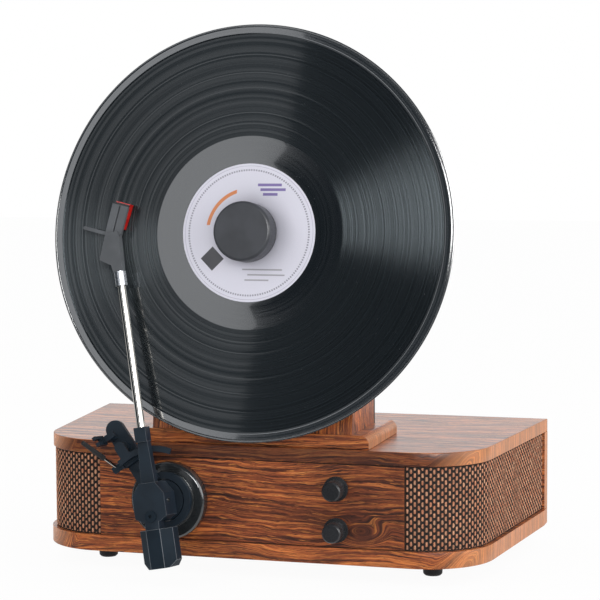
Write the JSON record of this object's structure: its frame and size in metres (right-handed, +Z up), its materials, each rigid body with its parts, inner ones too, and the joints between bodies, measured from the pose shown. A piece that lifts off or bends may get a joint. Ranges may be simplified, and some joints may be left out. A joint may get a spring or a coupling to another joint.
{
  "type": "upright record player",
  "caption": "Upright record player with a veneered cabinet, side speakers, a leaning platter with a clamped record, and a front-mounted tonearm.",
  "frame": {"origin": "on the floor, under the middle of the box that the whole player fills", "axes": "+X to the right as seen from the front, +Y to the back, +Z up"},
  "size_m": [0.372, 0.2574, 0.4001],
  "materials": {
    "veneer": "satin lacquered veneer with dark streaks",
    "dark_board": "dark painted board",
    "grille_cloth": "black and tan woven cloth",
    "record_vinyl": "glossy black with fine grooves",
    "label_paper": "printed pale paper",
    "clamp_black": "satin dark grey",
    "arm_black": "satin blue-black moulding",
    "weight_black": "satin black coating",
    "soft_black": "dull black",
    "knob_black": "satin black with a bright edge",
    "bright_metal": "polished",
    "dull_metal": "machined",
    "brass_parts": "plain",
    "screw_steel": "plain",
    "stylus_red": "clear red",
    "cartridge_black": "gloss black",
    "socket_plastic": "black moulding",
    "switch_white": "plain",
    "speaker_frame": "black",
    "speaker_paper": "black pressed paper",
    "board_green": "coated board"
  },
  "bodies": {
    "cabinet": {"top_board": "veneer", "bottom_board": "veneer", "front_panel": "veneer", "back_panel": "veneer", "side_wall_left": "dark_board", "side_wall_right": "dark_board", "grille_left": "grille_cloth", "grille_right": "grille_cloth", "speaker_left": "speaker_frame", "speaker_right": "speaker_frame", "speaker_cones": "speaker_paper", "circuit_board": "board_green", "board_standoffs": "brass_parts", "feet": "soft_black", "case_screws": "screw_steel", "socket_plate": "socket_plastic", "line_sockets": "brass_parts", "headphone_socket": "socket_plastic", "power_inlet": "socket_plastic", "switch_case": "socket_plastic", "plinth": "veneer", "column_front": "veneer", "column_side_left": "veneer", "column_side_right": "veneer", "column_top": "veneer", "column_cover": "dark_board", "spindle_bearing": "brass_parts", "motor": "dull_metal", "drive_belt": "soft_black", "controls": "dull_metal", "control_nuts": "brass_parts", "arm_flange": "arm_black", "rest_bracket": "arm_black", "rest_clip": "arm_black"},
    "turntable": {"spindle": "bright_metal", "platter": "dull_metal", "slip_mat": "soft_black", "record_disc": "record_vinyl", "record_label": "label_paper"},
    "motor_rotor": {"motor_pulley": "brass_parts"},
    "clamp_body": {"clamp": "clamp_black"},
    "yoke": {"arm_yoke": "arm_black", "lift_pins": "bright_metal", "yoke_washer": "bright_metal"},
    "arm": {"arm_block": "arm_black", "arm_tube": "bright_metal", "tube_socket": "dull_metal", "head_shell": "arm_black", "finger_lift": "arm_black", "cartridge": "cartridge_black", "stylus": "stylus_red", "counterweight": "weight_black", "balance_screw": "weight_black"},
    "cue": {"cue_shaft": "arm_black", "cue_rod": "bright_metal", "cue_grip": "soft_black"},
    "lifter": {"lift_bar": "arm_black"},
    "tone_knob": {"upper_knob": "knob_black"},
    "volume_knob": {"lower_knob": "knob_black"},
    "switch": {"switch_cap": "switch_white"}
  },
  "joints": [
    {"name": "platter_spin", "type": "hinge", "parent": "cabinet", "child": "turntable", "pos_m": [0, -0.05044, 0.248], "axis": [0, -0.9925, 0.1219], "continuous": true},
    {"name": "motor_spin", "type": "hinge", "parent": "cabinet", "child": "motor_rotor", "pos_m": [0, -0.06019, 0.1686], "axis": [0, -0.9925, 0.1219], "continuous": true},
    {"name": "clamp_slide", "type": "slide", "parent": "turntable", "child": "clamp_body", "axis": [0, -0.9925, 0.1219], "range_m": [0, 0.025]},
    {"name": "arm_swing", "type": "hinge", "parent": "cabinet", "child": "yoke", "pos_m": [-0.06, -0.09376, 0.05684], "axis": [0, -0.9925, 0.1219], "range_deg": [-10, 26.2]},
    {"name": "arm_lift", "type": "hinge", "parent": "yoke", "child": "arm", "pos_m": [-0.06, -0.11163, 0.05904], "axis": [0.9836, 0.022, 0.1792], "range_deg": [0, 8]},
    {"name": "cue_turn", "type": "hinge", "parent": "cabinet", "child": "cue", "pos_m": [-0.08218, -0.09558, 0.08715], "axis": [0.8028, 0.0727, 0.5918], "range_deg": [0, 40]},
    {"name": "lifter_slide", "type": "slide", "parent": "cabinet", "child": "lifter", "axis": [0, -0.9925, 0.1219], "range_m": [-0.0033, 0]},
    {"name": "upper_knob_turn", "type": "hinge", "parent": "cabinet", "child": "tone_knob", "pos_m": [0.066, -0.07388, 0.068], "axis": [0, -1, 0], "range_deg": [-150, 150]},
    {"name": "lower_knob_turn", "type": "hinge", "parent": "cabinet", "child": "volume_knob", "pos_m": [0.066, -0.07388, 0.038], "axis": [0, -1, 0], "range_deg": [-150, 150]},
    {"name": "switch_slide", "type": "slide", "parent": "cabinet", "child": "switch", "axis": [1, 0, 0], "range_m": [0, 0.004]}
  ],
  "couplings": [
    {"joint": "motor_spin", "follows": "platter_spin", "ratio": 10},
    {"joint": "lifter_slide", "follows": "cue_turn", "m_per_rad": -0.0045837}
  ]
}
